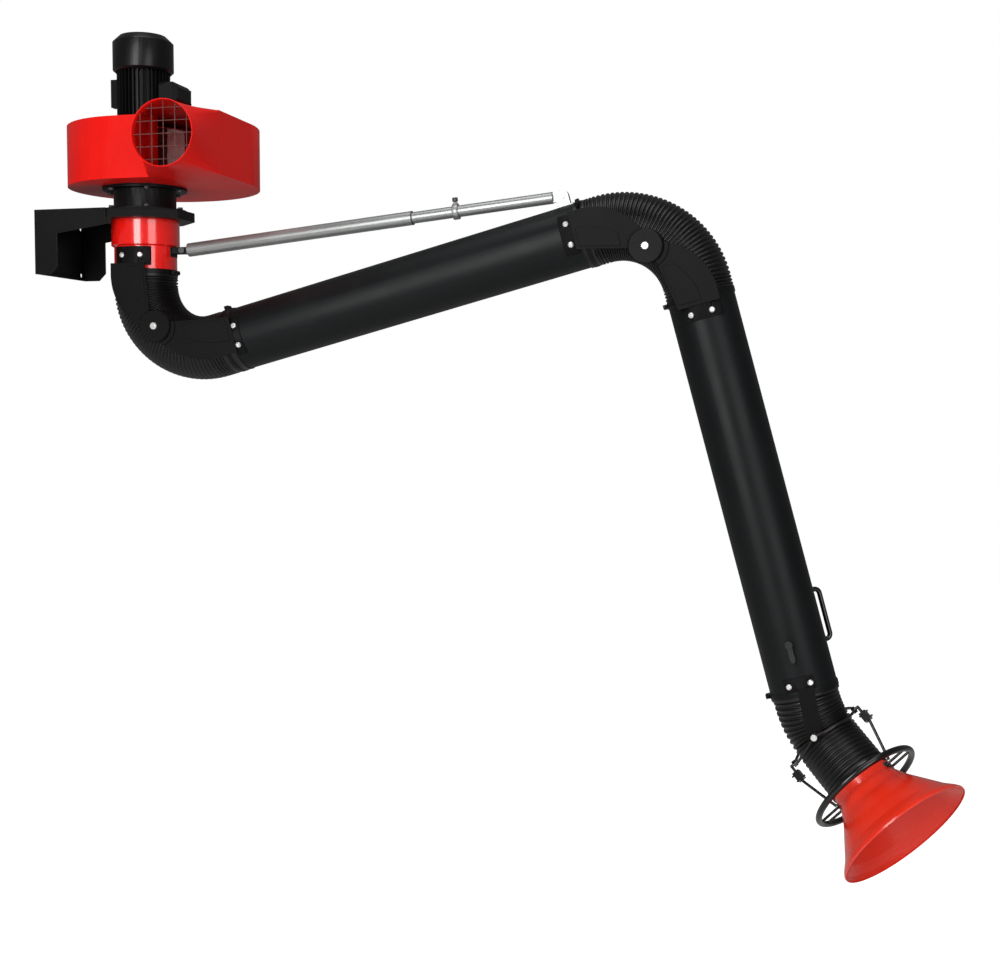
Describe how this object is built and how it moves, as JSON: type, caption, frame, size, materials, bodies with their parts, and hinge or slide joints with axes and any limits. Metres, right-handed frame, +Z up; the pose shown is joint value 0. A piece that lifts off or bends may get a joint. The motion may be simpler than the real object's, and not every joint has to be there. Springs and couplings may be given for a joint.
{
  "type": "welding fume extractor",
  "caption": "Wall-mounted fume extraction arm with a radial fan, a braced two-link duct arm and a gimballed hood with a handle ring.",
  "frame": {"origin": "centre of the four wall holes, on the back face of the wall plate", "axes": "+X out of the wall, +Z up, arm in the XZ plane"},
  "size_m": [2.3166, 0.608, 2.0578],
  "materials": {
    "red_enamel": "gloss",
    "hood_red": "gloss",
    "black_enamel": "satin",
    "cowl_black": "satin",
    "tube_black": "semi-gloss",
    "plate_grey": "satin",
    "pivot_black": "satin",
    "hose_black": "satin",
    "gasket_rubber": "matt",
    "bright_screws": "polished",
    "brace_grey": "brushed",
    "bush_grey": "satin",
    "stop_silver": "turned",
    "knob_black": "satin",
    "impeller_silver": "bright",
    "shaft_steel": "ground",
    "core_steel": "dark",
    "guard_wire": "bright",
    "fan_plastic": "matt",
    "gland_plastic": "matt",
    "damper_steel": "satin",
    "handle_black": "gloss"
  },
  "bodies": {
    "base": {"wall_bracket": "black_enamel", "swivel_ring": "black_enamel", "bracket_bolts": "bright_screws", "inlet_spigot": "black_enamel", "flange_gasket": "gasket_rubber", "fan_bolts": "bright_screws", "fan_casing": "red_enamel", "outlet_duct": "red_enamel", "outlet_guard": "guard_wire", "motor_plate": "black_enamel", "motor_housing": "black_enamel", "motor_stator": "core_steel", "motor_bearings": "shaft_steel", "rear_shield": "black_enamel", "fan_cowl": "cowl_black", "terminal_box": "black_enamel", "terminal_lid": "black_enamel", "cable_gland": "gland_plastic"},
    "fan_rotor": {"motor_shaft": "shaft_steel", "motor_rotor": "core_steel", "impeller": "impeller_silver", "cooling_fan": "fan_plastic"},
    "arm": {"swivel_collar": "red_enamel", "retaining_ring": "black_enamel", "shoulder_collar_plates": "plate_grey", "shoulder_pivots": "pivot_black", "collar_screws": "bright_screws", "collar_clamp": "black_enamel", "brace_clevis": "black_enamel", "brace_foot_pin": "bright_screws", "shoulder_hose": "hose_black"},
    "upper_arm": {"upper_tube": "tube_black", "shoulder_arm_plates": "plate_grey", "elbow_upper_plates": "plate_grey", "elbow_pivots": "pivot_black", "upper_screws": "bright_screws", "upper_clamps": "black_enamel", "brace_ears": "stop_silver", "brace_head_pin": "bright_screws", "elbow_hose": "hose_black"},
    "brace_outer": {"brace_outer_tube": "brace_grey", "brace_bush": "bush_grey"},
    "brace_inner": {"brace_inner_tube": "brace_grey"},
    "brace_stop": {"stop_collar": "stop_silver"},
    "brace_stop_screw": {"stop_screw": "knob_black"},
    "lower_arm": {"lower_tube": "tube_black", "elbow_lower_plates": "plate_grey", "lower_screws": "bright_screws", "lower_clamps": "black_enamel", "grab_handle": "handle_black", "link_plates": "plate_grey", "gimbal_bolts": "bright_screws", "hood_hose_upper": "hose_black"},
    "damper": {"damper": "damper_steel"},
    "gimbal": {"gimbal_ring": "handle_black", "hood_hose_lower": "hose_black"},
    "hood": {"hood_rods": "handle_black", "hood_clamps": "handle_black", "hood": "hood_red", "handle_ring": "handle_black"}
  },
  "joints": [
    {"name": "impeller_spin", "type": "hinge", "parent": "base", "child": "fan_rotor", "pos_m": [0.25, 0, 0.227], "axis": [0, 0, 1], "continuous": true},
    {"name": "arm_swivel", "type": "hinge", "parent": "base", "child": "arm", "pos_m": [0.25, 0, 0.032], "axis": [0, 0, 1], "range_deg": [-90, 90]},
    {"name": "shoulder", "type": "hinge", "parent": "arm", "child": "upper_arm", "pos_m": [0.322, 0, -0.213], "axis": [0, -1, 0], "range_deg": [-30, 8], "deforming": ["shoulder_hose"]},
    {"name": "brace_swing", "type": "hinge", "parent": "arm", "child": "brace_outer", "pos_m": [0.36, 0, -0.014], "axis": [0, -1, 0], "range_deg": [-31, 9]},
    {"name": "brace_slide", "type": "slide", "parent": "brace_outer", "child": "brace_inner", "axis": [0.9945, 0, 0.1049], "range_m": [-0.03, 0.105]},
    {"name": "stop_slide", "type": "slide", "parent": "brace_inner", "child": "brace_stop", "axis": [0.9945, 0, 0.1049], "range_m": [-0.06, 0.2]},
    {"name": "stop_screw_turn", "type": "hinge", "parent": "brace_stop", "child": "brace_stop_screw", "pos_m": [1.09592, 0, 0.06362], "axis": [-0.1049, 0, 0.9945], "range_deg": [-360, 0]},
    {"name": "elbow", "type": "hinge", "parent": "upper_arm", "child": "lower_arm", "pos_m": [1.5817, 0, -0.04214], "axis": [0, -1, 0], "range_deg": [-50, 60], "deforming": ["elbow_hose"]},
    {"name": "damper_turn", "type": "hinge", "parent": "lower_arm", "child": "damper", "pos_m": [1.92013, 0, -0.96683], "axis": [0, 1, 0], "range_deg": [0, 90]},
    {"name": "hood_tilt", "type": "hinge", "parent": "lower_arm", "child": "gimbal", "pos_m": [1.98026, 0, -1.17744], "axis": [0, -1, 0], "range_deg": [-90, 30], "deforming": ["hood_hose_upper"]},
    {"name": "hood_roll", "type": "hinge", "parent": "gimbal", "child": "hood", "pos_m": [2.00077, 0, -1.19794], "axis": [-0.7071, 0, -0.7071], "range_deg": [-70, 20], "deforming": ["hood_hose_lower"]}
  ],
  "couplings": [
    {"joint": "brace_swing", "follows": "shoulder", "ratio": 1.018},
    {"joint": "brace_slide", "follows": "shoulder", "m_per_rad": -0.196}
  ]
}
